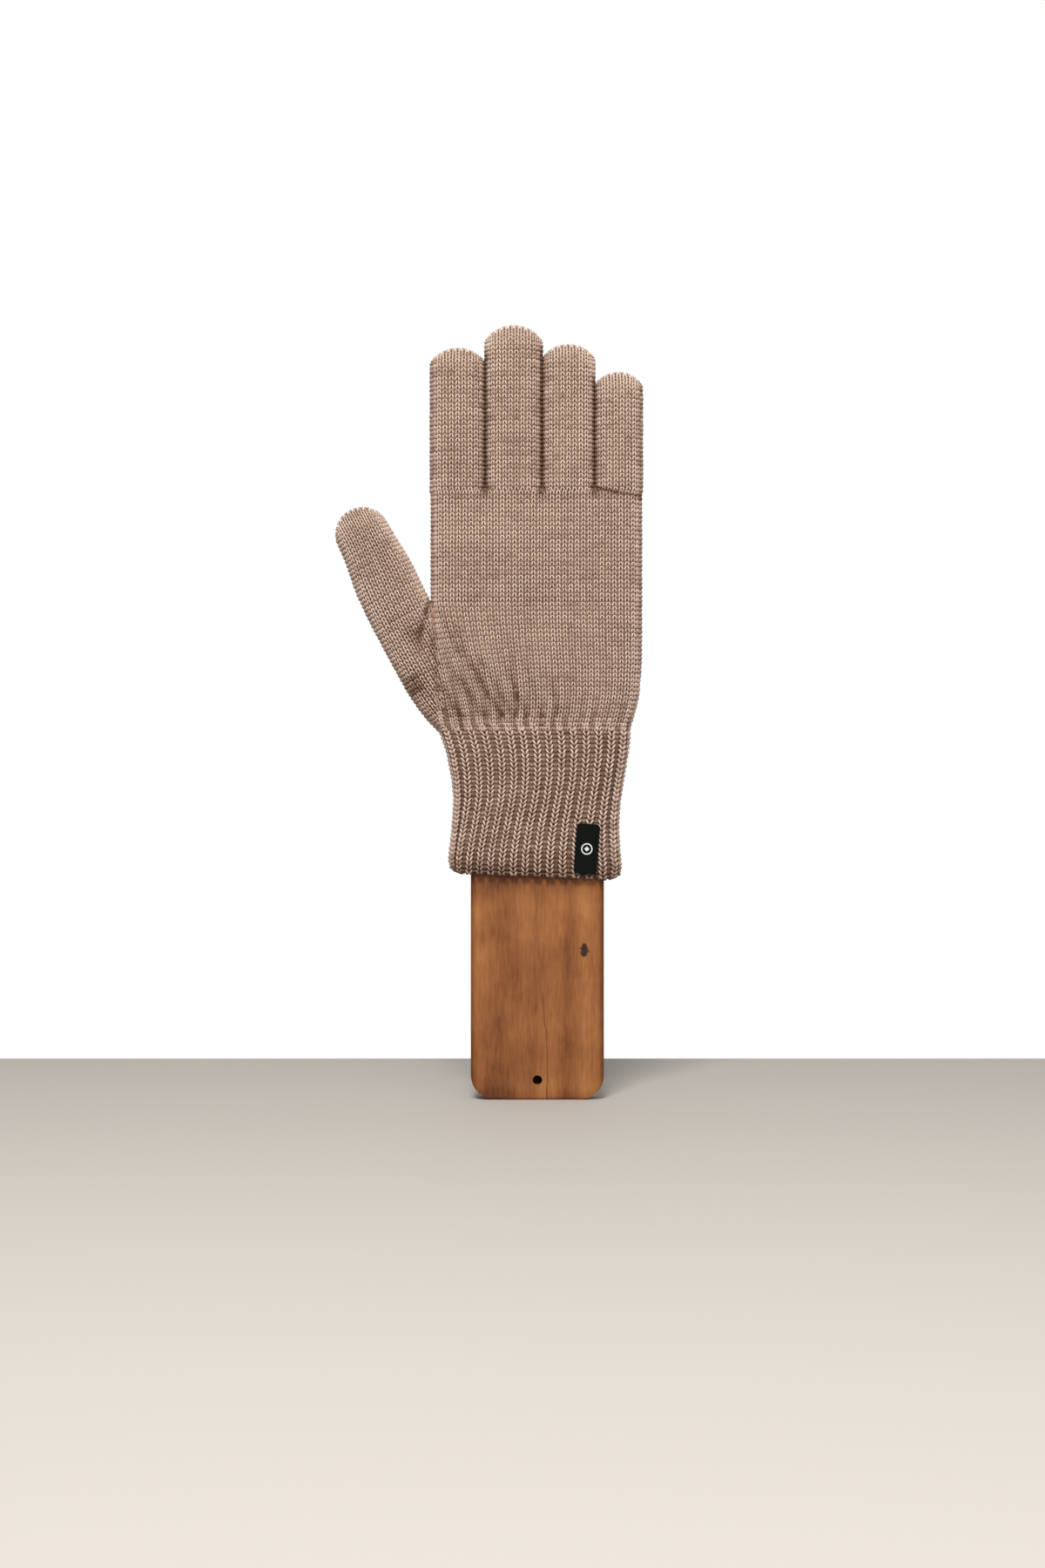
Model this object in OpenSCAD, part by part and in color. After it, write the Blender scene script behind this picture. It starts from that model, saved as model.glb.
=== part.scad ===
// A knitted five-finger glove pulled over its flat wooden glove form, which stands on its foot.
// Origin: the middle of the form's foot. +Z is up, and the labelled side of the glove faces -Y.
// The glove is a set of knitted sections, each a tube or a shell with the board's shape inside it.

/* [Wooden form] */
// Thickness of the board
board_t = 17; // [14:0.5:17]
// Width of the bare handle below the glove
handle_w = 63.6; // [58:0.2:66]
// Height at which the handle starts to widen into the palm
handle_top_z = 165; // [150:1:170]
// Radius of the handle's bottom corners, seen from the front
handle_corner_r = 12; // [8:1:18]
// Radius of the handle's long edges
handle_edge_r = 3; // [2:0.5:5]
// Radius of the foot's front and back edges
foot_edge_r = 1.5; // [0.5:0.5:2]
// Radius of the hanging hole
hole_r = 2.3; // [1.5:0.1:4]
// Depth of the hanging hole from the front face
hole_depth = 13; // [8:0.5:15]
// Height of the hanging hole above the foot
hole_z = 9.4; // [7:0.2:16]

/* [Hand] */
// Left edge of the hand, seen from the front
hand_left = -51; // [-54:0.5:-48]
// Height of the crotches between the fingers
crotch_z = 290.5; // [285:0.5:295]
// Height of the crotch between the thumb and the hand
thumb_crotch_z = 237.4; // [230:0.2:245]
// Thickness of the plain knitting
knit_t = 2.3; // [1.5:0.1:3]
// Clearance between the board and the knitting round it
fit_gap = 0.3; // [0.2:0.1:0.8]
// Gap between neighbouring fingers
finger_gap = 0.3; // [0.1:0.1:1]

/* [Fingers] */
// Width of the index finger
index_w = 25.9; // [24:0.1:28]
// Height of the index finger's tip above the foot
index_top = 359.5; // [345:0.5:370]
// Width of the middle finger
middle_w = 26.9; // [24:0.1:28]
// Height of the middle finger's tip above the foot
middle_top = 370.3; // [355:0.1:380]
// Width of the ring finger
ring_w = 24.8; // [24:0.1:28]
// Height of the ring finger's tip above the foot
ring_top = 361.3; // [345:0.1:370]
// Width of the little finger
little_w = 22.6; // [22.4:0.1:25]
// Height of the little finger's tip above the foot
little_top = 347.9; // [335:0.1:360]

// Radius of the fingertips as a multiple of half the finger's width
tip_roundness = 1.2; // [1.1:0.05:1.4]

/* [Thumb] */
// Lean of the thumb away from upright, in degrees
thumb_lean = 28; // [22:1:34]
// Width of the thumb at its base
thumb_w = 30.4; // [28:0.2:32]
// Radius of the thumb's tip
thumb_tip_r = 12.95; // [12:0.05:14]
// Length from the thumb's base to the middle of its tip
thumb_len = 44.5; // [38:0.5:50]
// How far the thumb's tip bends back towards the hand
thumb_bend = 1.7; // [0:0.1:3]

/* [Cuff] */
// Height of the top of the ribbed cuff
cuff_top_z = 176.4; // [172:0.2:180]
// Width of the cuff where it meets the hand
cuff_top_w = 91.7; // [90:0.1:93]
// Height of the cuff's waist
waist_z = 142; // [138:1:150]
// Width of the cuff's waist
waist_w = 79; // [77:0.5:84]
// Height of the upper edge of the hem
hem_top_z = 110.5; // [108:0.5:114]
// Height of the lower edge of the hem
hem_bottom_z = 105.5; // [103:0.5:107]
// Width of the hem
hem_w = 82.3; // [80:0.1:86]
// Thickness of the ribbed knitting
rib_t = 3; // [2.4:0.1:3]

/* [Label] */
// Width of the label patch
label_w = 10.8; // [8:0.2:14]
// Height of the label patch
label_h = 23.8; // [18:0.2:26]
// Thickness of the label patch
label_t = 0.9; // [0.5:0.1:1.5]
// Corner radius of the label patch
label_r = 1.6; // [0.5:0.1:3]
// Distance of the label from the middle of the cuff
label_x = 23.4; // [10:0.2:26]
// Height of the middle of the label
label_z = 119.7; // [118:0.1:124]
// Lean of the label, in degrees
label_lean = 5; // [0:1:8]

/* [Hidden] */

WOOL = "#b5a08f";
WOOL_JOIN = "#8f7a69";
WOOD = "#ac794e";

// Half thicknesses of the three nested skins: board, inside of the knitting, outside of it
rho_wood = board_t / 2;
rho_in = rho_wood + fit_gap;
rho_out = rho_in + knit_t;
shrink_in = knit_t;
shrink_wood = knit_t + fit_gap;

// The board's hulled shoulder and thumb root lie this far under the faces that they join
sink = 0.2;
shrink_root = shrink_wood + sink;

// Fingers from index to little: widths, tip heights, then the middle line of each
finger_w = [index_w, middle_w, ring_w, little_w];
finger_top = [index_top, middle_top, ring_top, little_top];
function finger_left(i) = i == 0 ? hand_left : finger_left(i - 1) + finger_w[i - 1] + finger_gap;
function finger_x(i) = finger_left(i) + finger_w[i] / 2;
function finger_tip_r(i) = tip_roundness * finger_w[i] / 2;
hand_right = finger_left(3) + finger_w[3];

// Height of the joining row under the little finger and of the webs in the crotches
join_h = 1.6;
web_h = 4;
web_w = 4;

// Heights of the wooden palm
palm_low_z = 207;
palm_top_z = crotch_z - web_h - 0.5;

// The thumb's base line runs from the crotch down to the outer edge of the hand
thumb_base_x = hand_left - thumb_w / 2 * cos(thumb_lean);
thumb_base_z = thumb_crotch_z - thumb_w / 2 * sin(thumb_lean);
thumb_mid_h = 17;

// Ball of the thumb, a round swelling at the outer side of the lower palm
ball_r = thumb_w / 2;
ball_x = hand_left + 1.6;
ball_z = 202;

// Half thicknesses of the cuff's outside at its top, its waist and its hem
cuff_rho_top = rho_in + rib_t + 0.1;
cuff_rho_waist = rho_in + rib_t + 0.4;
cuff_rho_hem = rho_in + rib_t + 1.4;
cuff_x = (hand_left + hand_right) / 2;

slice_h = 0.4;
through = 1;
knot_r = 1.3;
mark_t = 0.3;

// Flat stadium, half_w from its middle to its round ends, rho thick each way
module stadium(half_w, rho, fn = 48) {
    core = half_w - rho;
    square([2 * core, 2 * rho], center = true);
    for (side = [-1, 1]) translate([side * core, 0]) circle(r = rho, $fn = fn);
}

// Level slice of a stadium from x0 to x1, for hulls
module slice(x0, x1, rho, z, h = slice_h) {
    translate([(x0 + x1) / 2, 0, z]) linear_extrude(h) stadium((x1 - x0) / 2, rho, 32);
}

// Upper half of a disc with a round rim, standing on edge
module half_disc(half_w, rho) {
    core = half_w - rho;
    rotate([90, 0, 0]) rotate_extrude(angle = 180, $fn = 64) {
        translate([0, -rho]) square([core, 2 * rho]);
        intersection() {
            translate([core, 0]) circle(r = rho, $fn = 48);
            translate([0, -rho]) square([half_w, 2 * rho]);
        }
    }
}

// Upright bar of stadium section; its top is an arc that meets the sides at two blunt shoulders
module finger_bar(half_w, rho, z0, top_z, tip_r) {
    arc_z = top_z - tip_r;
    translate([0, 0, z0]) linear_extrude(arc_z - z0) stadium(half_w, rho);
    intersection() {
        translate([0, 0, arc_z]) linear_extrude(tip_r + through) stadium(half_w, rho);
        translate([0, 0, arc_z]) half_disc(tip_r, rho);
    }
}

// Whole disc with a round rim, for hulls
module disc(x, z, half_w, rho) {
    core = max(half_w - rho, 0.01);
    translate([x, 0, z]) rotate([90, 0, 0]) rotate_extrude($fn = 28) {
        translate([0, -rho]) square([core, 2 * rho]);
        intersection() {
            translate([core, 0]) circle(r = rho, $fn = 28);
            translate([0, -rho]) square([core + rho, 2 * rho]);
        }
    }
}

// Places its children on the thumb's base line, with +Z along the thumb
module at_thumb() {
    translate([thumb_base_x, 0, thumb_base_z]) rotate([0, -thumb_lean, 0]) children();
}

// Solid thumb from its base to its tip; shrink pulls its skin in, low starts it below its base
module thumb_solid(shrink, low) {
    rho = rho_out - shrink;
    at_thumb() hull() {
        slice(-thumb_w / 2 + shrink, thumb_w / 2 - shrink, rho, -low, thumb_mid_h + low);
        disc(thumb_bend, thumb_len, thumb_tip_r - shrink, rho);
    }
}

// Solid lower palm between the cuff, the upper palm and the thumb; over lengthens it at its mouths
module lower_palm_solid(shrink, over) {
    rho = rho_out - shrink;
    half_top = cuff_top_w / 2 - shrink;
    hull() {
        slice(hand_left + shrink, hand_right - shrink, rho, thumb_crotch_z + over - slice_h);
        slice(cuff_x, hand_right - shrink, rho, palm_low_z);
        slice(cuff_x - half_top, cuff_x + half_top, rho, cuff_top_z - over);
        disc(ball_x, ball_z, ball_r - shrink, rho);
        at_thumb() slice(-thumb_w / 2 + shrink, thumb_w / 2 - shrink, rho, over - slice_h);
    }
}

// Solid cuff from the hem's upper edge to the hand; shrink pulls its skin in
module cuff_solid(shrink, over) {
    half_top = cuff_top_w / 2 - shrink;
    half_waist = waist_w / 2 - shrink;
    half_hem = hem_w / 2 - shrink;
    hull() {
        slice(cuff_x - half_top, cuff_x + half_top, cuff_rho_top - shrink, cuff_top_z + over - slice_h);
        slice(cuff_x - half_waist, cuff_x + half_waist, cuff_rho_waist - shrink, waist_z);
    }
    hull() {
        slice(cuff_x - half_waist, cuff_x + half_waist, cuff_rho_waist - shrink, waist_z);
        slice(cuff_x - half_hem, cuff_x + half_hem, cuff_rho_hem - shrink, hem_top_z - over);
    }
}

// Bare handle: round bottom corners, round long edges and a slightly eased foot
module handle() {
    half = handle_w / 2;
    intersection() {
        linear_extrude(handle_top_z) union() {
            square([handle_w - 2 * handle_edge_r, board_t], center = true);
            square([handle_w, board_t - 2 * handle_edge_r], center = true);
            for (sx = [-1, 1], sy = [-1, 1])
                translate([sx * (half - handle_edge_r), sy * (rho_wood - handle_edge_r)])
                    circle(r = handle_edge_r, $fn = 32);
        }
        translate([0, rho_wood + through, 0]) rotate([90, 0, 0])
            linear_extrude(board_t + 2 * through) union() {
                translate([-half, handle_corner_r]) square([handle_w, handle_top_z]);
                translate([handle_corner_r - half, 0]) square([handle_w - 2 * handle_corner_r, handle_top_z]);
                for (side = [-1, 1])
                    translate([side * (half - handle_corner_r), handle_corner_r])
                        circle(r = handle_corner_r, $fn = 64);
            }
        rotate([90, 0, 90]) translate([0, 0, -half - through])
            linear_extrude(handle_w + 2 * through) union() {
                translate([-rho_wood, foot_edge_r]) square([board_t, handle_top_z]);
                translate([foot_edge_r - rho_wood, 0]) square([board_t - 2 * foot_edge_r, handle_top_z]);
                for (side = [-1, 1])
                    translate([side * (rho_wood - foot_edge_r), foot_edge_r])
                        circle(r = foot_edge_r, $fn = 32);
            }
    }
}

// Shoulder of the board that widens from the handle to the palm
module shoulder(palm_half, rho) {
    hull() {
        translate([0, 0, handle_top_z - 2 * slice_h]) linear_extrude(slice_h)
            square([handle_w - 2, board_t - 1], center = true);
        slice(cuff_x - palm_half, cuff_x + palm_half, rho, palm_low_z + through);
    }
}

// Root of the board's thumb, from its base down to the handle
module thumb_root(palm_half, rho) {
    hull() {
        at_thumb() slice(-thumb_w / 2 + shrink_root, thumb_w / 2 - shrink_root, rho, 0);
        disc(ball_x, ball_z, ball_r - shrink_root, rho);
        slice(cuff_x - palm_half, cuff_x, rho, palm_low_z + ball_r);
        slice(cuff_x - handle_w / 2 + through, cuff_x, rho, cuff_top_z + 2 * through);
    }
}

// One-piece board: handle, palm, four finger bars and a thumb
module wooden_form() {
    palm_half = (hand_right - hand_left) / 2 - shrink_wood;
    color(WOOD) difference() {
        union() {
            handle();
            translate([cuff_x, 0, palm_low_z]) linear_extrude(palm_top_z - palm_low_z)
                stadium(palm_half, rho_wood);
            for (i = [0:3])
                translate([finger_x(i), 0, 0])
                    finger_bar(finger_w[i] / 2 - shrink_wood, rho_wood, palm_top_z,
                               finger_top[i] - shrink_wood, finger_tip_r(i) - shrink_wood);
            shoulder(palm_half - sink, rho_wood - sink);
            thumb_root(palm_half - sink, rho_wood - sink);
            thumb_solid(shrink_wood, 0);
        }
        translate([0, hole_depth - board_t / 2, hole_z]) rotate([90, 0, 0])
            cylinder(h = hole_depth + through, r = hole_r, $fn = 48);
    }
}

// Straight tube round the hand above the thumb
module upper_palm() {
    half = (hand_right - hand_left) / 2;
    color(WOOL) translate([cuff_x, 0, thumb_crotch_z]) difference() {
        linear_extrude(crotch_z - thumb_crotch_z) stadium(half, rho_out);
        translate([0, 0, -through]) linear_extrude(crotch_z - thumb_crotch_z + 2 * through)
            stadium(half - shrink_in, rho_in);
    }
}

// Hand below the thumb's crotch, with the swelling that the thumb grows out of
module lower_palm() {
    color(WOOL) difference() {
        lower_palm_solid(0, 0);
        lower_palm_solid(shrink_in, through);
    }
}

// Closed knitted tube of one finger, open at its base
module finger(i, base_z) {
    color(WOOL) translate([finger_x(i), 0, 0]) difference() {
        finger_bar(finger_w[i] / 2, rho_out, base_z, finger_top[i], finger_tip_r(i));
        finger_bar(finger_w[i] / 2 - shrink_in, rho_in, base_z - through, finger_top[i] - shrink_in,
                   finger_tip_r(i) - shrink_in);
    }
}

// Row of pulled-in stitches that joins the little finger to the hand
module little_finger_join() {
    inset = 0.6;
    color(WOOL_JOIN) translate([finger_x(3), 0, crotch_z]) difference() {
        linear_extrude(join_h) stadium(little_w / 2 - inset, rho_out - inset);
        translate([0, 0, -through]) linear_extrude(join_h + 2 * through)
            stadium(little_w / 2 - shrink_in, rho_in);
    }
}

// Closed knitted tube of the thumb, open at its base
module thumb() {
    color(WOOL) difference() {
        thumb_solid(0, 0);
        thumb_solid(shrink_in, through);
    }
}

// Gathered stitches that lie in the notch between the thumb and the hand
module thumb_crotch_join() {
    join_r = 1.2;
    join_l = 7;
    join_x = hand_left - join_r - 0.05;
    join_z = thumb_crotch_z + join_r / tan(thumb_lean / 2) + 0.2;
    color(WOOL_JOIN) translate([join_x, 0, join_z]) rotate([90, 0, 0])
        cylinder(h = join_l, r = join_r, center = true, $fn = 24);
}

// Gathered webs that close the hand between neighbouring fingers
module finger_crotch_joins() {
    color(WOOL_JOIN) for (i = [0:2])
        translate([finger_left(i + 1) - finger_gap / 2, 0, crotch_z - web_h])
            linear_extrude(web_h) square([web_w, 2 * rho_in], center = true);
}

// Small knots where the yarn is drawn through and fastened off, on one shoulder of each tip
module tip_knots() {
    side = [-1, -1, 1, 1];
    lean = 60;
    color(WOOL_JOIN) {
        for (i = [0:3]) {
            half = finger_w[i] / 2;
            shoulder_z = finger_top[i] - finger_tip_r(i) + sqrt(pow(finger_tip_r(i), 2) - pow(half, 2));
            translate([finger_x(i) + side[i] * (half + knot_r * sin(lean)), 0, shoulder_z + knot_r * cos(lean)])
                sphere(r = knot_r, $fn = 24);
        }
        thumb_reach = thumb_tip_r + knot_r;
        at_thumb() translate([thumb_bend - thumb_reach * sin(lean), 0, thumb_len + thumb_reach * cos(lean)])
            sphere(r = knot_r, $fn = 24);
    }
}

// Ribbed tube that narrows to a waist and widens again to the hem
module rib_cuff() {
    color(WOOL) difference() {
        cuff_solid(0, 0);
        cuff_solid(rib_t, through);
    }
}

// Firm round welt where the cuff's edge is turned in and doubled
module cuff_hem() {
    half = hem_w / 2;
    ease = 1;
    color(WOOL) difference() {
        hull() {
            slice(cuff_x - half, cuff_x + half, cuff_rho_hem, hem_bottom_z + ease,
                  hem_top_z - hem_bottom_z - ease);
            slice(cuff_x - half + ease, cuff_x + half - ease, cuff_rho_hem - ease, hem_bottom_z);
        }
        translate([cuff_x, 0, hem_bottom_z - through]) linear_extrude(hem_top_z - hem_bottom_z + 2 * through)
            stadium(half - rib_t, cuff_rho_hem - rib_t);
    }
}

// Places its children on the label, flat side to the cuff, +Z out of the front
module at_label(lift) {
    translate([label_x, -cuff_rho_hem - 0.05 - lift, label_z]) rotate([0, label_lean, 0])
        rotate([90, 0, 0]) children();
}

// Flat rubbery patch with round corners, fixed over the lower edge of the cuff
module label_patch() {
    color("#1e231f") at_label(0) linear_extrude(label_t) union() {
        square([label_w - 2 * label_r, label_h], center = true);
        square([label_w, label_h - 2 * label_r], center = true);
        for (sx = [-1, 1], sy = [-1, 1])
            translate([sx * (label_w / 2 - label_r), sy * (label_h / 2 - label_r)])
                circle(r = label_r, $fn = 32);
    }
}

// Plain generic mark on the label: a ring round a small lozenge
module label_mark() {
    color("#ededeb") at_label(label_t) linear_extrude(mark_t) {
        difference() {
            circle(r = 2.7, $fn = 48);
            circle(r = 2.15, $fn = 48);
        }
        rotate(45) square(1.7, center = true);
    }
}

wooden_form();
upper_palm();
lower_palm();
finger(0, crotch_z);  // index_finger
finger(1, crotch_z);  // middle_finger
finger(2, crotch_z);  // ring_finger
finger(3, crotch_z + join_h);  // little_finger
little_finger_join();
thumb();
thumb_crotch_join();
finger_crotch_joins();
tip_knots();
rib_cuff();
cuff_hem();
label_patch();
label_mark();
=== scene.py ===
"""Looks of a knitted five-finger glove on its flat wooden glove form.

Every knitted section is laid stitch by stitch. A section is a grid of wales (columns, counted round
the hand) by courses (rows, counted up the hand); one modelled stitch is copied into each cell and
bent to it. Lengths are in millimetres until a mesh is made.
"""
import math

import bpy
import numpy as np
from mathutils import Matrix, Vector


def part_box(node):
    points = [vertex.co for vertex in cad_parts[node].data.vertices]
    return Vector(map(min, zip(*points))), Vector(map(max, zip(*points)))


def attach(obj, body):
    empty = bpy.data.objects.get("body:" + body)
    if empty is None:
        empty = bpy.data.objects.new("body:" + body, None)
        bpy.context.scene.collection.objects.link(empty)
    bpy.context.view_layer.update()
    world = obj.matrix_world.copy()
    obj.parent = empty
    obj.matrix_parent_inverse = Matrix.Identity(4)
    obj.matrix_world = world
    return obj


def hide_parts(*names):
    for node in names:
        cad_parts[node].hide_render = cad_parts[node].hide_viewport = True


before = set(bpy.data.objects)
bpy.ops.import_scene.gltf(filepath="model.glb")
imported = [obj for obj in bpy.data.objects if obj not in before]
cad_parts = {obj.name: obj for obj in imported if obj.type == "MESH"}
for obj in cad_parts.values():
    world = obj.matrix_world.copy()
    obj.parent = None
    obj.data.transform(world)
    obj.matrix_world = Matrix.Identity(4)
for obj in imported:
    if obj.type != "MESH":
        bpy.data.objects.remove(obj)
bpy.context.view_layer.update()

MM = 0.001
rng = np.random.default_rng(7)


def box_mm(node):
    low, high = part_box(node)
    return np.array(low) / MM, np.array(high) / MM


# ---------------------------------------------------------------- sizes, from the frame

palm_low, palm_high = box_mm("upper_palm")
hand_left, hand_right = palm_low[0], palm_high[0]
crotch_z, thumb_crotch_z = palm_high[2], palm_low[2]
hand_mid = (hand_left + hand_right) / 2
hand_half = (hand_right - hand_left) / 2
cuff_top_z = box_mm("rib_cuff")[1][2]
hem_low, hem_high = box_mm("cuff_hem")

YARN_OUT = 1.05  # how far a stitch stands out of the surface that its section is laid on
EDGE_IN = YARN_OUT * 0.6  # how far inside a section's outline that surface lies at its edges
half_depth = palm_high[1] - YARN_OUT
END_X = 7.0  # how far in from the hand's edge the front starts to turn round

COURSE = 2.1  # height of one row of plain knitting
FINGERS = ("index", "middle", "ring", "little")
FINGER_WALES = {"index": 13, "middle": 14, "ring": 13, "little": 12}
TIP_ROUNDNESS = 1.2  # radius of a fingertip's outline, in half widths of the finger
MIDDLE_PROUD = 0.3  # how far the middle finger stands out in front of the others
finger_gaps = []  # where two fingers meet: x, and the height of the lower one's tip
for one, other in zip(FINGERS, FINGERS[1:]):
    (_, left_high), (right_low, right_high) = box_mm(one + "_finger"), box_mm(other + "_finger")
    finger_gaps.append(((left_high[0] + right_low[0]) / 2, min(left_high[2], right_high[2])))

THUMB_LEAN = math.radians(28)
THUMB_W = 30.4
THUMB_WALES = 15
THUMB_MID = 17.0  # height at which the thumb starts to narrow
THUMB_LEN = 44.5  # height at which its tip starts to round off
THUMB_TIP_R = 12.95
THUMB_BEND = 1.7  # how far its tip leans back towards the hand

HAND_WALES = 38  # across one face of the hand
RIBS = 17  # across one face of the cuff
RIB_COURSE = 2.2


# ---------------------------------------------------------------- small helpers


def unit(vectors):
    size = np.linalg.norm(vectors, axis=-1, keepdims=True)
    return vectors / np.maximum(size, 1e-9)


def smooth(x, low, high):
    t = np.clip((x - low) / (high - low), 0, 1)
    return t * t * (3 - 2 * t)


def bell(x):
    """1 at zero, falling away softly on both sides."""
    return np.exp(-(x**2))


def hollow(x, z, place, size):
    """A soft round dent or swelling of unit height."""
    return np.exp(-(((x - place[0]) / size[0]) ** 2) - ((z - place[1]) / size[1]) ** 2)


def deselect():
    bpy.ops.object.select_all(action="DESELECT")


def mesh_object(name, points, faces):
    """A mesh from points in millimetres and faces given as index arrays, one array for each face size."""
    mesh = bpy.data.meshes.new(name)
    loops = np.concatenate([f.ravel() for f in faces]).astype(np.int32)
    totals = np.concatenate([np.full(len(f), f.shape[1]) for f in faces]).astype(np.int32)
    mesh.vertices.add(len(points))
    mesh.vertices.foreach_set("co", (points * MM).astype(np.float32).ravel())
    mesh.loops.add(len(loops))
    mesh.loops.foreach_set("vertex_index", loops)
    mesh.polygons.add(len(totals))
    mesh.polygons.foreach_set("loop_start", np.concatenate([[0], np.cumsum(totals)[:-1]]).astype(np.int32))
    mesh.polygons.foreach_set("loop_total", totals)
    mesh.update(calc_edges=True)
    mesh.validate()
    piece = bpy.data.objects.new(name, mesh)
    bpy.context.scene.collection.objects.link(piece)
    mesh.polygons.foreach_set("use_smooth", np.ones(len(totals), bool))
    return piece


# ---------------------------------------------------------------- one stitch, modelled once


BAR_SIDES = 5


def bent_bar(*rings):
    """A closed bar pulled through rings of (across, up, out, radius across, radius out)."""
    deselect()
    bpy.ops.mesh.primitive_cylinder_add(
        vertices=BAR_SIDES, radius=1, depth=1, end_fill_type="NGON", location=(0, 0, 0.5)
    )
    bar = bpy.context.object
    bpy.ops.object.transform_apply(location=True)
    last = len(rings) - 1
    bpy.ops.object.mode_set(mode="EDIT")
    for cut in range(1, last):
        bpy.ops.mesh.select_all(action="SELECT")
        bpy.ops.mesh.bisect(plane_co=(0, 0, cut / last), plane_no=(0, 0, 1))
    bpy.ops.object.mode_set(mode="OBJECT")
    heights = [round(v.co.z * last) for v in bar.data.vertices]
    for ring, (across, up, out, wide, deep) in enumerate(rings):
        for vertex, height in zip(bar.data.vertices, heights):
            vertex.select = height == ring
        for edge in bar.data.edges:
            edge.select = all(heights[v] == ring for v in edge.vertices)
        for face in bar.data.polygons:
            face.select = all(heights[v] == ring for v in face.vertices)
        bpy.ops.object.mode_set(mode="EDIT")
        bpy.ops.transform.resize(value=(wide, deep, 1), center_override=(0, 0, ring / last))
        bpy.ops.transform.translate(value=(across, -out, up - ring / last))
        bpy.ops.object.mode_set(mode="OBJECT")
    points = np.array([v.co for v in bar.data.vertices], float)
    faces = [tuple(p.vertices) for p in bar.data.polygons]
    bpy.data.objects.remove(bar)
    return points * (1, -1, 1), faces


def mirrored(bar):
    points, faces = bar
    return points * (-1, 1, 1), [f[::-1] for f in faces]


def lying(bar):
    """An upright bar laid on its side: what was up runs across."""
    points, faces = bar
    return points[:, (2, 1, 0)], [f[::-1] for f in faces]


def stitch(*bars):
    """Bars as one stitch: points of (across a wale, up a course, out in mm) and faces by their size."""
    points, faces, start = [], {}, 0
    for bar_points, bar_faces in bars:
        points.append(bar_points[:, (0, 2, 1)])
        for face in bar_faces:
            faces.setdefault(len(face), []).append([start + v for v in face])
        start += len(bar_points)
    return np.concatenate(points), [np.array(faces[k]) for k in sorted(faces)]


# Half of an arch of yarn: the two halves meet at the top of the cell, over a small dark gap
LEG = bent_bar(
    (0.25, -0.24, -0.20, 0.12, 0.36),
    (0.27, 0.12, 0.46, 0.152, 0.52),
    (0.235, 0.52, 0.60, 0.152, 0.54),
    (0.10, 0.88, 0.24, 0.145, 0.42),
)
# The same on a rib, where the wale is one fat column of two plump legs
RIB_LEG = bent_bar(
    (0.10, -0.20, -0.28, 0.13, 0.50),
    (0.18, 0.14, 0.40, 0.165, 0.80),
    (0.30, 0.56, 0.50, 0.165, 0.82),
    (0.41, 0.98, -0.10, 0.13, 0.50),
)
# The bump of a purl stitch, lying across the groove between two ribs
PURL_BUMP = lying(
    bent_bar(
        (0.35, -0.62, -0.25, 0.22, 0.42),
        (0.58, -0.22, 0.16, 0.25, 0.42),
        (0.58, 0.22, 0.16, 0.25, 0.42),
        (0.35, 0.62, -0.25, 0.22, 0.42),
    )
)
PLAIN = stitch(LEG, mirrored(LEG))
RIB = stitch(RIB_LEG, mirrored(RIB_LEG))
PURL = stitch(PURL_BUMP)


# ---------------------------------------------------------------- laying stitches on a grid

LOOSE_ACROSS, LOOSE_UP, LOOSE_OUT = 0.03, 0.05, 0.1  # how far a stitch strays, as shares of its size
SLOW_MARL, ROW_MARL, WALE_MARL, STITCH_MARL = 0.09, 0.01, 0.02, 0.05  # share of each in the yarn's marl
SUNK_DARK, SUNK_BELOW = 0.28, 0.40  # darkening of yarn that lies lower than this
LINING_PAINTED_SHADE = 0.11  # painted shade: the lining behind the stitches is dark to stand in for the shade between them
CUFF_LINING_PAINTED_SHADE = 0.07


def grid_normals(points, closed):
    """Outward normals of a grid of points, from its own slopes."""
    if closed:
        across = np.roll(points, -1, axis=0) - np.roll(points, 1, axis=0)
    else:
        across = np.gradient(points, axis=0)
    up = np.gradient(points, axis=1)
    return unit(np.cross(across, up))


def heather(cells_across, cells_up):
    """Shade of each stitch from 0 to 1: the marled yarn changes slowly along a course, and at random."""
    run = rng.normal(size=(cells_across, cells_up))
    slow = sum(np.roll(run, shift, axis=0) for shift in range(5)) / 5
    row = rng.normal(size=(1, cells_up))
    wale = rng.normal(size=(cells_across, 1))
    single = rng.normal(size=run.shape)
    shade = 0.5 + SLOW_MARL * slow + ROW_MARL * row + WALE_MARL * wale + STITCH_MARL * single
    return np.clip(shade, 0.2, 0.8)


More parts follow.
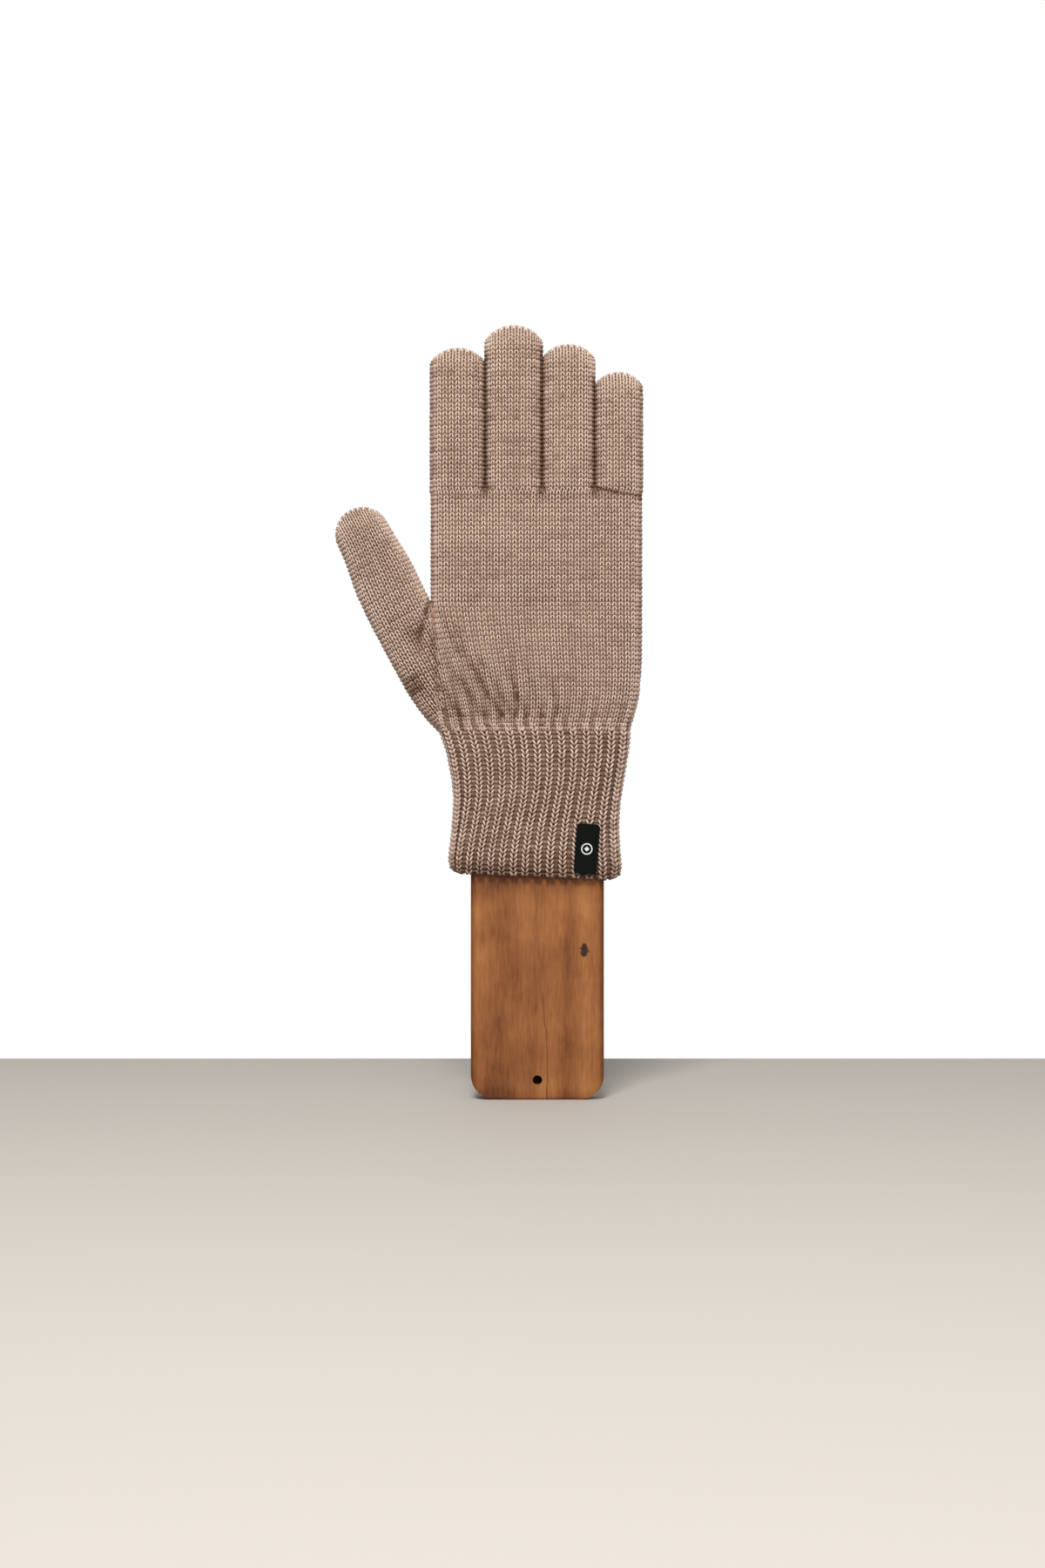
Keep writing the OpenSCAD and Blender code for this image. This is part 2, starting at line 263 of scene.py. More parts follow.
def lay(points, normals, model, keep=None, shade=None):
    """Copies of one stitch in every kept cell of a grid, as (points, faces by size, shade of each point)."""
    template, faces = model
    cells = (points.shape[0] - 1, points.shape[1] - 1)
    keep = np.ones(cells, bool) if keep is None else keep
    shade = heather(*cells) if shade is None else shade
    chosen = np.argwhere(keep)
    i, j = chosen[:, 0], chosen[:, 1]
    count = len(chosen)
    u = (template[:, 0] + 0.5)[None, :] + rng.uniform(-LOOSE_ACROSS, LOOSE_ACROSS, (count, 1))
    v = template[:, 1][None, :] + rng.uniform(-LOOSE_UP, LOOSE_UP, (count, 1))
    out = template[:, 2][None, :] * rng.uniform(1 - LOOSE_OUT, 1 + LOOSE_OUT, (count, 1))

    def across(grid, u, v):
        u, v = u[..., None], v[..., None]
        low = grid[i, j][:, None] * (1 - u) + grid[i + 1, j][:, None] * u
        high = grid[i, j + 1][:, None] * (1 - u) + grid[i + 1, j + 1][:, None] * u
        return low * (1 - v) + high * v

    normal = unit(across(normals, np.clip(u, 0, 1), np.clip(v, 0, 1)))
    placed = across(points, u, v) + normal * out[..., None]
    start = (np.arange(count) * len(template))[:, None, None]
    laid_faces = {f.shape[1]: (f[None] + start).reshape(-1, f.shape[1]) for f in faces}
    # The ends of a stitch go down between its neighbours, where little light comes
    sunk = SUNK_DARK * np.clip(SUNK_BELOW - template[:, 2], 0, 0.8)
    return placed.reshape(-1, 3), laid_faces, (shade[i, j][:, None] - sunk[None, :]).ravel()


def sleeve(surface, normals, depths=(0.35, 0.9), shade=LINING_PAINTED_SHADE):
    """A closed lining in painted shade between two depths under a surface that wraps round in its first
    direction.
    """
    around, up = surface.shape[:2]
    grid = np.arange(around * up).reshape(around, up)
    ahead = np.roll(grid, -1, axis=0)
    skin = np.stack([grid[:, :-1], ahead[:, :-1], ahead[:, 1:], grid[:, 1:]], -1).reshape(-1, 4)
    back = skin[:, ::-1] + around * up
    rims = []
    for row, turn in ((0, 1), (up - 1, -1)):
        here, there = grid[:, row], ahead[:, row]
        ring = np.stack([here, here + around * up, there + around * up, there], -1)
        rims.append(ring[:, ::turn])
    points = np.concatenate([(surface - depth * normals).reshape(-1, 3) for depth in depths])
    return points, {4: np.concatenate([skin, back, *rims])}, np.full(len(points), shade)


JOIN_SLOPE = 0.17  # the little finger's pulled-in row runs down towards the edge of the hand
# How strong the painted shade of each kind of crease is; the first row gets painted light instead
GAP_DARK, GAP_SIDE_DARK, CROTCH_DARK = 0.50, 0.24, 0.45
JOIN_DARK, FIRST_ROW_LIGHT, FINGER_BASE_DARK = 0.42, 0.05, 0.10
THUMB_CREASE_DARK, FOLD_DARK, EDGE_DARK = 0.42, 0.26, 0.24
HEM_DARK, HEM_EDGE_DARK = 0.24, 0.40
# Painted shade in the hollows beside the thumb: (x, z), (half width, half height) and how dark they are
DARK_HOLLOWS = (
    ((-57.5, 221), (4.5, 6), 0.30),
    ((-58.5, 197), (5.5, 6), 0.40),
    ((-51.0, 186), (7.0, 8), 0.16),
    ((-48.5, 218), (3.0, 14), 0.10),
    ((-30.5, 200), (4.0, 6), 0.08),
)
# Painted shade in the drawn-in lines of the lower hand, from x, z down to x, z, with their half width and how
# dark they are
STREAKS = (
    (-40.0, 222, -17.0, 183, 1.5, 0.26),
    (-34.0, 222, -11.5, 183, 1.3, 0.17),
    (-45.0, 213, -25.5, 183, 1.5, 0.20),
    (-17.0, 212, -5.5, 183, 1.5, 0.18),
    (-5.0, 208, 1.5, 183, 1.5, 0.14),
    (6.0, 204, 10.0, 183, 1.5, 0.10),
    (-47.5, 201, -36.5, 182, 1.6, 0.28),
    (-47.0, 235, -37.0, 212, 1.2, 0.18),
    (-43.5, 235, -33.0, 211, 1.1, 0.14),
)


def crease_shade(points):
    """How much painted shade darkens the yarn at each point, where the knitting is folded or gathered, at the
    hand's edges and at the hem.
    """
    x, z = points[:, 0], points[:, 2]
    dark = np.zeros(len(points))
    # Painted shade in the gaps between the fingers and in the hollows of their crotches
    for gap, top in finger_gaps:
        between = smooth(z, crotch_z - 2, crotch_z + 1) * smooth(z, top + 1, top - 6)
        dark += between * (GAP_DARK * bell((x - gap) / 0.9) + GAP_SIDE_DARK * bell((x - gap) / 3.2))
        dark += CROTCH_DARK * hollow(x, z, (gap, crotch_z - 0.2), (2.0, 2.8))
    # Painted shade on the little finger's pulled-in row, painted light on the first row of the others, and a
    # soft band of painted shade below them
    join = box_mm("little_finger_join")[0]
    row = JOIN_DARK * bell(z - join[2] - 0.6 + JOIN_SLOPE * (x - join[0]))
    first_row = FIRST_ROW_LIGHT * bell((z - crotch_z + 0.5) / 0.8)
    dark += np.where(x > join[0], row, np.where(x > hand_left, -first_row, 0))
    base_mid = (finger_gaps[0][0] + join[0]) / 2
    dark += FINGER_BASE_DARK * hollow(x, z, (base_mid, crotch_z - 2.5), (22, 3.0))
    # Painted shade in the thumb's crotch, and in the fold that runs down from it
    crease = smooth(z, 212, 226) * smooth(z, 239, 236)
    dark += THUMB_CREASE_DARK * crease * bell((x + 52.2 + 0.24 * (236 - z)) / 1.3)
    for place, size, depth in DARK_HOLLOWS:
        dark += depth * hollow(x, z, place, size)
    dark += FOLD_DARK * smooth(z, 184, 192) * smooth(z, 237, 233) * bell((x - ditch_x(z)) / 1.5)
    # Painted shade along the edges of the hand, in the drawn-in lines and on the hem
    edge = np.abs(np.abs(x - hand_mid) - hand_half)
    wood_wear_and_knit_edge_shade = EDGE_DARK * smooth(edge, 3.0, 0.8) * smooth(z, 198, 212)
    dark += np.where((z > 236) | (x > 0), wood_wear_and_knit_edge_shade, 0)
    for x0, z0, x1, z1, width, depth in STREAKS:
        run_x, run_z = x1 - x0, z1 - z0
        share = np.clip(((x - x0) * run_x + (z - z0) * run_z) / (run_x**2 + run_z**2), 0, 1)
        off = ((x - x0 - share * run_x) ** 2 + (z - z0 - share * run_z) ** 2) / width**2
        dark += depth * np.exp(-off) * smooth(share, 0, 0.45)
    hem_up = z + HEM_SLANT * x
    dark += HEM_DARK * smooth(hem_up, 121, 107) + HEM_EDGE_DARK * smooth(hem_up, 110, 103.5)
    return dark


def joined(parts):
    """Several (points, faces, shade) as one."""
    start, points, faces, shade = 0, [], {}, []
    for part_points, part_faces, part_shade in parts:
        points.append(part_points)
        shade.append(part_shade)
        for size, rows in part_faces.items():
            faces.setdefault(size, []).append(rows + start)
        start += len(part_points)
    return np.concatenate(points), {k: np.concatenate(v) for k, v in faces.items()}, np.concatenate(shade)


def knitted_piece(name, parts, material, node):
    points, faces, shade = joined(parts)
    # The yarn's marl, less painted shade in creases, folds, hollows and at the hem
    shade = np.clip(shade - crease_shade(points), 0, 1)
    piece = mesh_object(name, points, [faces[k] for k in sorted(faces)])
    marl_minus_painted_shade = piece.data.attributes.new("yarn_marl_with_painted_shade", "FLOAT", "POINT")
    marl_minus_painted_shade.data.foreach_set("value", shade.astype(np.float32))
    piece.data.materials.append(material)
    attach(piece, "glove")
    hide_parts(node)
    return piece


# ---------------------------------------------------------------- shapes of the sections


def quarter_turn(depth, samples=60):
    """The round edge of the hand as (arc length, distance in from the edge, depth), from edge to flat."""
    angle = np.linspace(0, math.pi / 2, samples)
    inset, y = END_X * (1 - np.cos(angle)), depth * np.sin(angle)
    arc = np.concatenate([[0], np.cumsum(np.hypot(np.diff(inset), np.diff(y)))])
    return arc, inset, y


def rolled(s, depth):
    """Distance in from the edge and depth at arc length s from the edge's outermost line."""
    arc, inset, y = quarter_turn(depth)
    flat = np.maximum(s - arc[-1], 0)
    return np.interp(s, arc, inset) + flat, np.interp(s, arc, y)


def section(half_w, depth, count):
    """Points evenly spaced round a flattened tube, from its left edge along the front, and its normals."""
    turn = quarter_turn(depth)[0][-1]
    half_round = 2 * turn + 2 * (half_w - END_X)
    s = np.arange(count) * 2 * half_round / count
    front = s <= half_round
    s = np.where(front, s, 2 * half_round - s)
    left = s <= half_round / 2
    inset, y = rolled(np.where(left, s, half_round - s), depth)
    x = np.where(left, inset - half_w, half_w - inset)
    y = np.where(front, -y, y)
    reach = np.clip((np.abs(x) - (half_w - END_X)) / END_X, 0, 1)
    normal = np.stack([np.sign(x) * reach / END_X, y / depth**2], -1)
    return x, y, unit(normal)


def dip(distance):
    """Share of the full depth at a distance in from an edge or a notch."""
    return np.sqrt(1 - (1 - np.clip(distance / END_X, 0, 1)) ** 2)


def capped_tube(half_w, middle, depth, count, base, cap, top):
    """Column lines of a tube with a closed tip, each as (arc lengths, points, normals). half_w and middle
    are functions of height, cap is where the columns start to turn in, and top(x) is the tip's ridge."""
    x0, y0, side = section(half_w(base), depth, count)
    lines = []
    for x, y, (nx, ny) in zip(x0, y0, side):
        straight = np.linspace(base, cap, 12)
        share = x / half_w(base)
        angle = np.linspace(0, math.pi / 2, 24)[1:]
        ridge_x = middle(cap) + share * half_w(cap)
        rise = max(top(ridge_x) - cap, 0.2)
        heights = np.concatenate([straight, cap + rise * np.sin(angle)])
        xs = np.concatenate([middle(straight) + share * half_w(straight), np.full(len(angle), ridge_x)])
        ys = np.concatenate([np.full(len(straight), y), y * np.cos(angle)])
        line = np.stack([xs, ys, heights], -1)
        slope = (top(ridge_x + 0.1) - top(ridge_x - 0.1)) / 0.2
        ridge = unit(np.array([-slope, 0, 1.0]))
        turn = np.concatenate([np.zeros(len(straight)), angle])[:, None]
        normal = unit(np.cos(turn) * np.array([nx, ny, 0]) + np.sin(turn) * ridge)
        arc = np.concatenate([[0], np.cumsum(np.linalg.norm(np.diff(line, axis=0), axis=1))])
        lines.append((arc, line, normal))
    return lines


def along(line, distance):
    """Points and normals of a column line at distances along it."""
    arc, points, normals = line
    distance = np.clip(distance, 0, arc[-1])
    return (
        np.stack([np.interp(distance, arc, points[:, k]) for k in range(3)], -1),
        unit(np.stack([np.interp(distance, arc, normals[:, k]) for k in range(3)], -1)),
    )


def tube_parts(half_w, middle, depth, wales, base, cap, top, place=lambda p, n: (p, n)):
    """The stitches and the lining of one closed tube, such as a finger."""
    lines = capped_tube(half_w, middle, depth, 2 * wales, base, cap, top)
    rows = math.ceil(max(line[0][-1] for line in lines) / COURSE) + 1
    grid = [along(line, np.arange(rows) * COURSE) for line in lines]
    points, normals = (np.array([g[k] for g in grid]) for k in (0, 1))
    length = np.array([line[0][-1] for line in lines])
    mean = (length + np.roll(length, -1)) / 2
    keep = (np.arange(rows - 1)[None, :] + 0.6) * COURSE < mean[:, None]
    points, normals = (np.concatenate([g, g[:1]]) for g in (points, normals))
    points, normals = place(points, normals)
    laid = lay(points, normals, PLAIN, keep)
    fine = capped_tube(half_w, middle, depth, 40, base, cap, top)
    shares = np.linspace(0, 1, 26)
    grid = [along(line, shares * line[0][-1]) for line in fine]
    skin, out = place(*(np.array([g[k] for g in grid]) for k in (0, 1)))
    return [laid, sleeve(skin, out)]


def finger_parts(name):
    low, high = box_mm(name + "_finger")
    mid, half, top_z = (low[0] + high[0]) / 2, (high[0] - low[0]) / 2 - 0.2, high[2] - EDGE_IN
    depth = half_depth + (MIDDLE_PROUD if name == "middle" else 0.0)
    tip_r = TIP_ROUNDNESS * half

    def half_w(z):
        return half + 0 * z

    def middle(z):
        return mid + 0 * z

    def ridge(x):
        return top_z - tip_r + np.sqrt(np.maximum(tip_r**2 - (x - mid) ** 2, 0))

    return tube_parts(half_w, middle, depth, FINGER_WALES[name], crotch_z - 0.4, top_z - depth, ridge)


# ---------------------------------------------------------------- thumb

THUMB_ACROSS = np.array([math.cos(THUMB_LEAN), 0, math.sin(THUMB_LEAN)])
THUMB_UP = np.array([-math.sin(THUMB_LEAN), 0, math.cos(THUMB_LEAN)])
thumb_base = np.array([hand_left, 0, thumb_crotch_z]) - THUMB_W / 2 * THUMB_ACROSS
thumb_half = THUMB_W / 2 - EDGE_IN


def on_thumb(points, normals):
    """Turns points and normals from the thumb's own upright frame into the hand's."""
    turn = np.array([THUMB_ACROSS, [0, 1, 0], THUMB_UP])
    return points @ turn + thumb_base, normals @ turn


def thumb_parts():
    tip_r = THUMB_TIP_R - EDGE_IN

    def half_w(z):
        return thumb_half + (tip_r - thumb_half) * smooth(z, THUMB_MID, THUMB_LEN)

    def middle(z):
        return THUMB_BEND * smooth(z, 0, THUMB_LEN)

    def ridge(x):
        return THUMB_LEN + np.sqrt(np.maximum(tip_r**2 - (x - THUMB_BEND) ** 2, 0))

    return tube_parts(half_w, middle, half_depth, THUMB_WALES, 0, THUMB_LEN - 1, ridge, on_thumb)


# ---------------------------------------------------------------- hand


def palm_grid(count, rows_z):
    """The straight hand above the thumb, pulled in under each finger crotch."""
    x, y, _ = section(hand_half - EDGE_IN, half_depth, count)
    x = x + hand_mid
    grid = np.zeros((count, len(rows_z), 3))
    for j, z in enumerate(rows_z):
        nearest = np.min([np.hypot(x - gap, z - crotch_z) for gap, _ in finger_gaps], axis=0)
        grid[:, j] = np.stack([x, y * dip(1.7 * nearest + 0.8), np.full(count, z)], -1)
    return grid


def palm_parts():
    rows = round((crotch_z - thumb_crotch_z) / COURSE)
    grid = palm_grid(2 * HAND_WALES, np.linspace(thumb_crotch_z, crotch_z, rows + 1))
    normals = grid_normals(grid, True)
    close = [np.concatenate([g, g[:1]]) for g in (grid, normals)]
    skin = palm_grid(120, np.linspace(thumb_crotch_z, crotch_z, 28))
    out = grid_normals(skin, True)
    return [lay(*close, PLAIN), sleeve(skin, out)]


# Right and left outlines of the lower hand and the thumb's root, as heights and distances
RIGHT_Z = np.array([170.0, 178.0, 186.0, 193.5, 207.0, 222.0, 240.0])
RIGHT_X = np.array([42.4, 44.7, 47.2, 48.8, 49.9, 50.1, 50.1])
ROOT_DOWN = np.array([-64.0, -57.0, -50.0, -43.0, -32.0, -16.0, 0.0])
ROOT_EDGE = np.array([-7.0, -10.2, -12.6, -13.9, -15.0, -15.2, -15.2])
LEFT_Z = np.array([170.0, 176.4, 181.0, 185.6, 194.4, 209.4, 223.0])
LEFT_X = np.array([-44.6, -47.2, -51.5, -56.8, -62.7, -71.5, -78.2])
lower_z = cuff_top_z - 0.5
# Ends of the fold between the thumb's root and the hand, as x and z
ditch_top, ditch_low = np.array([-50.2, 234.0]), np.array([-46.6, 180.0])
NOTCH = np.array([hand_left - 0.2, thumb_crotch_z])
LOWER_RIB_PITCH = 103.7 / RIBS  # the ribs start in the hand as low ridges along its wales
FAN_WALES = 7  # wales that come up out of the fold beside the thumb
LEAN_WALES = 18  # wales next to the fold that lean towards it and dip
WALE_DIP, CUFF_TUCK = 4.5, 0.5  # how far those wales dip, and the hand is tucked in at the cuff
RUN_DARK, RUN_LIGHT = 0.48, 0.10  # painted shade in the grooves that run up from the ribs, and painted light between them
ROOT_LEN = 58  # from the thumb's base down to the cuff's corner


def ditch_x(z):
    return ditch_top[0] + (ditch_top[1] - z) / (ditch_top[1] - ditch_low[1]) * (ditch_low[0] - ditch_top[0])


def fold(x, z):
    """How far the knitting is drawn in along the fold between the thumb's root and the hand. The form's own
    face is 1.5 mm below the knitting's, so the fold is a shallow groove between two swellings."""
    off = x - ditch_x(z)
    deep = np.interp(z, [176, 184, 216, 223, 230, 236], [0.2, 0.8, 0.85, 1.2, 3.4, 2.2])
    swell = 1.2 * smooth(z, 182, 200) * smooth(z, 236, 224)
    sides = swell * (bell((off + 9) / 4.5) + 0.8 * bell((off - 8) / 4.5))
    dents = 1.2 * hollow(x, z, (-57, 221), (3.0, 6)) + 1.3 * hollow(x, z, (-56, 196), (4.0, 6))
    crease = 0.7 * bell((x + 30.5 - 0.66 * (200 - z)) / 2.2) * bell((z - 200) / 8)
    return deep * bell(off / 2.2) + dents + crease - sides


def front_depth(x, z):
    """Depth of the front face, by its distance from the notch and from the left outline."""
    notch = np.hypot(x - NOTCH[0], z - NOTCH[1])
    left = (x - np.interp(z, LEFT_Z, LEFT_X)) * 0.87
    return half_depth * dip(np.minimum(notch + 0.6, np.where(z < 200, np.maximum(left, 0.3), 99)))


def foot_arc(w):
    """Arc length from the hand's right edge at which wale w reaches the cuff."""
    return np.interp(w, [-FAN_WALES, 0, 15, HAND_WALES], [104.5, 88.5, 59.5, 0])


def groove_run(w, z):
    """How strongly the ribs' grooves run on into the hand: further up on the thumb's side."""
    reach = 198 + 24 * smooth(w, 34, 10)
    return np.clip((reach - z) / (reach - cuff_top_z), 0, 1) ** 1.6


def groove_shade(w, z):
    """Painted shade in the low grooves that run up from the ribs, and painted light between them, for cells
    at wale w and height z.
    """
    groove = (0.5 + 0.5 * np.cos(2 * math.pi * foot_arc(w) / LOWER_RIB_PITCH)) ** 1.5
    return (RUN_DARK * groove - RUN_LIGHT) * groove_run(w, z)


def hand_sheet(rows):
    """Front of the lower hand: wales run down from the palm and fan out of the fold towards the cuff."""
    wales = np.linspace(-FAN_WALES, HAND_WALES, HAND_WALES + FAN_WALES + 1)
    down = np.linspace(1, 0, rows + 1)
    w, t = np.meshgrid(wales, down, indexing="ij")
    z = thumb_crotch_z + (lower_z - thumb_crotch_z) * t
    z = z - WALE_DIP * np.clip((LEAN_WALES - w) / LEAN_WALES, 0, 1.2) * np.sin(math.pi * t)
    turn = quarter_turn(half_depth)[0][-1]
    half = hand_half - EDGE_IN
    pitch = (2 * turn + 2 * (half - END_X)) / HAND_WALES
    s_top = (HAND_WALES - w) * pitch
    s_low = foot_arc(w)
    rib_wave = np.cos(2 * math.pi * s_low / LOWER_RIB_PITCH) * groove_run(w, z)
    bend = t ** (1.05 + 0.9 * np.clip(w / LEAN_WALES, 0, 1))
    s = s_top + (s_low - s_top) * bend
    inset, roll = rolled(s, half_depth)
    x = np.interp(z, RIGHT_Z, RIGHT_X) - EDGE_IN - inset
    from_left = np.clip(w * pitch, 0, turn)
    x_edge = hand_mid - half + rolled(from_left, half_depth)[0] + np.minimum(w * pitch, 0)
    near = w < turn / pitch
    pull = np.where(near, x_edge - (hand_mid + half - rolled(s_top, half_depth)[0]), 0) * (1 - bend) ** 2
    x = x + pull
    tuck = CUFF_TUCK * smooth(z, cuff_top_z + 2.5, cuff_top_z)
    y = -np.minimum(roll, front_depth(x, z)) + fold(x, z) + rib_wave + tuck
    return np.stack([x, y, z], -1)


def root_sheet(rows):
    """Front of the thumb's root: the thumb's wales run on down to the cuff's corner."""
    across = np.linspace(0, THUMB_WALES, THUMB_WALES + 1)
    down = np.linspace(-ROOT_LEN, 0, rows + 1)
    w, a = np.meshgrid(across, down, indexing="ij")
    turn = quarter_turn(half_depth)[0][-1]
    pitch = (2 * turn + 2 * (thumb_half - END_X)) / THUMB_WALES
    inset, roll = rolled(w * pitch, half_depth)
    right_inset = rolled((THUMB_WALES - w) * pitch, half_depth)[0]
    left_half = w * pitch < turn + thumb_half - END_X
    from_edge = np.interp(a, ROOT_DOWN, ROOT_EDGE) + EDGE_IN + inset
    b = np.where(left_half, from_edge, thumb_half - right_inset)
    x = thumb_base[0] + b * THUMB_ACROSS[0] + a * THUMB_UP[0]
    z = thumb_base[2] + b * THUMB_ACROSS[2] + a * THUMB_UP[2]
    y = -np.minimum(roll, half_depth * dip(np.hypot(x - NOTCH[0], z - NOTCH[1]) + 0.6)) + fold(x, z)
    return np.stack([x, y, z], -1)


def both_faces(grid):
    """The front sheet and its copy on the back, turned so that it still faces out."""
    return [grid, (grid * (1, -1, 1))[::-1]]


def cell_middles(grid):
    return (grid[:-1, :-1] + grid[1:, :-1] + grid[:-1, 1:] + grid[1:, 1:]) / 4


def backing(grid, keep):
    """A thin closed slab in painted shade under the kept cells of an open sheet."""
    normals = grid_normals(grid, False)
    around, up = grid.shape[:2]
    index = np.arange(around * up).reshape(around, up)
    cells = np.argwhere(keep)
    i, j = cells[:, 0], cells[:, 1]
    skin = np.stack([index[i, j], index[i + 1, j], index[i + 1, j + 1], index[i, j + 1]], -1)
    edges = np.concatenate([np.stack([skin[:, k], skin[:, (k + 1) % 4]], -1) for k in range(4)])
    known = {tuple(e) for e in edges.tolist()}
    rim = np.array([e for e in edges.tolist() if (e[1], e[0]) not in known])
    size = around * up
    walls = np.stack([rim[:, 1], rim[:, 0], rim[:, 0] + size, rim[:, 1] + size], -1)
    faces = np.concatenate([skin, skin[:, ::-1] + size, walls])
    points = np.concatenate([(grid - depth * normals).reshape(-1, 3) for depth in (0.25, 0.8)])
    used, places = np.unique(faces, return_inverse=True)
    return points[used], {4: places.reshape(faces.shape)}, np.full(len(used), LINING_PAINTED_SHADE)


def sheet_parts(sheet, rows, kept):
    """The stitches of both faces of a sheet, then their linings; kept(middles, spare) picks the cells."""
    grids = both_faces(sheet(rows))
    parts = []
    for side, grid in enumerate(grids):
        middles = cell_middles(grid)
        shade = heather(*middles.shape[:2])
        # Painted shade in the grooves that run up from the ribs into the hand
        if sheet is hand_sheet:
            w = np.arange(len(middles))[:, None] + 0.5
            shade -= groove_shade((len(middles) - w if side else w) - FAN_WALES, middles[..., 2])
        parts.append(lay(grid, grid_normals(grid, False), PLAIN, kept(middles, 0), shade))
    for grid in grids:
        parts.append(backing(grid, kept(cell_middles(grid), 1.5)))
    return parts


def hand_side(middles, spare):
    """Cells on the hand's side of the fold, with some to spare under the thumb's root."""
    x, z = middles[..., 0], middles[..., 2]
    return (x > ditch_x(z) - 1.3 - spare) & (x > np.interp(z, LEFT_Z, LEFT_X) + 0.5)


def root_side(middles, spare):
    """Cells on the thumb's side of the fold, with some to spare under the hand."""
    x, z = middles[..., 0], middles[..., 2]
    return (x < ditch_x(z) + 1.6 + spare) & (z > lower_z)


# ---------------------------------------------------------------- cuff

# Heights up the cuff with the left and right edges and the half depth of its middle surface
CUFF_Z = np.array([104.0, 111.0, 118.0, 132.0, 143.0, 154.0, 165.5, 173.5, 176.5, 180.0])
CUFF_LEFT = np.array([-41.6, -41.6, -41.0, -39.6, -39.1, -40.3, -42.5, -45.2, -46.8, -49.8])
CUFF_RIGHT = np.array([39.6, 39.5, 38.8, 38.0, 38.8, 40.6, 42.6, 43.6, 43.9, 44.5])
CUFF_DEPTH = np.array([11.9, 11.9, 11.6, 10.9, 10.7, 10.6, 10.5, 10.3, 10.2, 10.1])
HEM_SLANT = 0.041  # the hem hangs a little lower on the right
HEM_R = 2.0  # radius of the turned-in edge
HEM_INSIDE_ROWS = 3
HEM_CORNER = 3.0  # how far the hem's corners are rounded up
CUFF_UNDER = 6.0  # how far the cuff runs up under the hand
RIB_DRIFT = 0.85  # how far the ribs drift sideways on their way to the hem, in ribs
KNIT_OUT, PURL_OUT = 0.35, -0.62  # relief of the ribs and of the grooves between them
# Painted shade in the grooves between the ribs, weaker at the cuff's sides
GROOVE_DARK, SIDE_GROOVE_DARK = 0.38, 0.20
# Sides of a wale as shares of a rib, on the flat and at full relief
KNIT_EDGES = ((0.24, 0.17), (0.76, 0.83))
SIDE_KNIT_EDGES = ((0.24, 0.11), (0.76, 0.89))
PURL_EDGES = ((0.76, 0.83), (1.24, 1.17))


def cuff_ring(z, across, out):
    """Points round the cuff at one height, at a distance out from its middle surface; across counts ribs
    from the left edge."""
    left, right, depth = (np.interp(z, CUFF_Z, v) for v in (CUFF_LEFT, CUFF_RIGHT, CUFF_DEPTH))
    half, mid = (right - left) / 2, (right + left) / 2
    fine = 720
    x, y, normal = section(half, depth, fine)
    drift = RIB_DRIFT * smooth(z, 158, 110) * np.sin(np.pi * (across % RIBS) / RIBS)
    at = (across - drift) / (2 * RIBS) * fine
    ring = np.stack([np.interp(at, np.arange(fine + 1), np.append(v, v[0])) for v in (x, y)], -1)
    facing = unit(np.stack([np.interp(at, np.arange(fine + 1), np.append(v, v[0])) for v in normal.T], -1))
    ring = ring + facing * out
    lean = HEM_SLANT * smooth(z, cuff_top_z, hem_high[2] + 8)
    corner = HEM_CORNER * smooth(np.abs(ring[:, 0]), half - 6, half + 1) * (1 - smooth(z, 103, 114))
    height = z - lean * ring[:, 0] + corner
    return np.stack([ring[:, 0] + mid, ring[:, 1], height], -1)


def hem_path():
    """The cuff's wall from inside its hem, round the edge and up to the hand, as (out, height)."""
    low = hem_low[2] + 1.0
    inside = [(-2 * HEM_R, low + HEM_R + k * RIB_COURSE) for k in reversed(range(HEM_INSIDE_ROWS))]
    turn = [
        (-HEM_R + HEM_R * math.sin(a), low + HEM_R - HEM_R * math.cos(a)) for a in (-math.pi / 4, math.pi / 4)
    ]
    span = cuff_top_z + CUFF_UNDER - low - HEM_R
    rows = round(span / RIB_COURSE)
    outside = []
    for k in range(rows + 1):
        z = low + HEM_R + span * k / rows
        sunk = 1.2 * smooth(z, cuff_top_z - 1.5, cuff_top_z + CUFF_UNDER) + 0.9 * smooth(z, low + 7, low + 1)
        outside.append((-sunk, z))
    return inside + turn + outside, len(inside) + len(turn)


def cuff_column(rib, path, edges, out, rise):
    """Grid of one wale of the cuff; its relief points the other way inside the hem."""
    lines = []
    for (wall, z), lift, turn in zip(path, rise, (-1,) * HEM_INSIDE_ROWS + (1,) * len(path)):
        first, last = (flat + (full - flat) * lift for flat, full in edges)
        lines.append(cuff_ring(z, np.array([rib + first, rib + last]), wall + turn * out * lift))
    return np.stack(lines, 1)


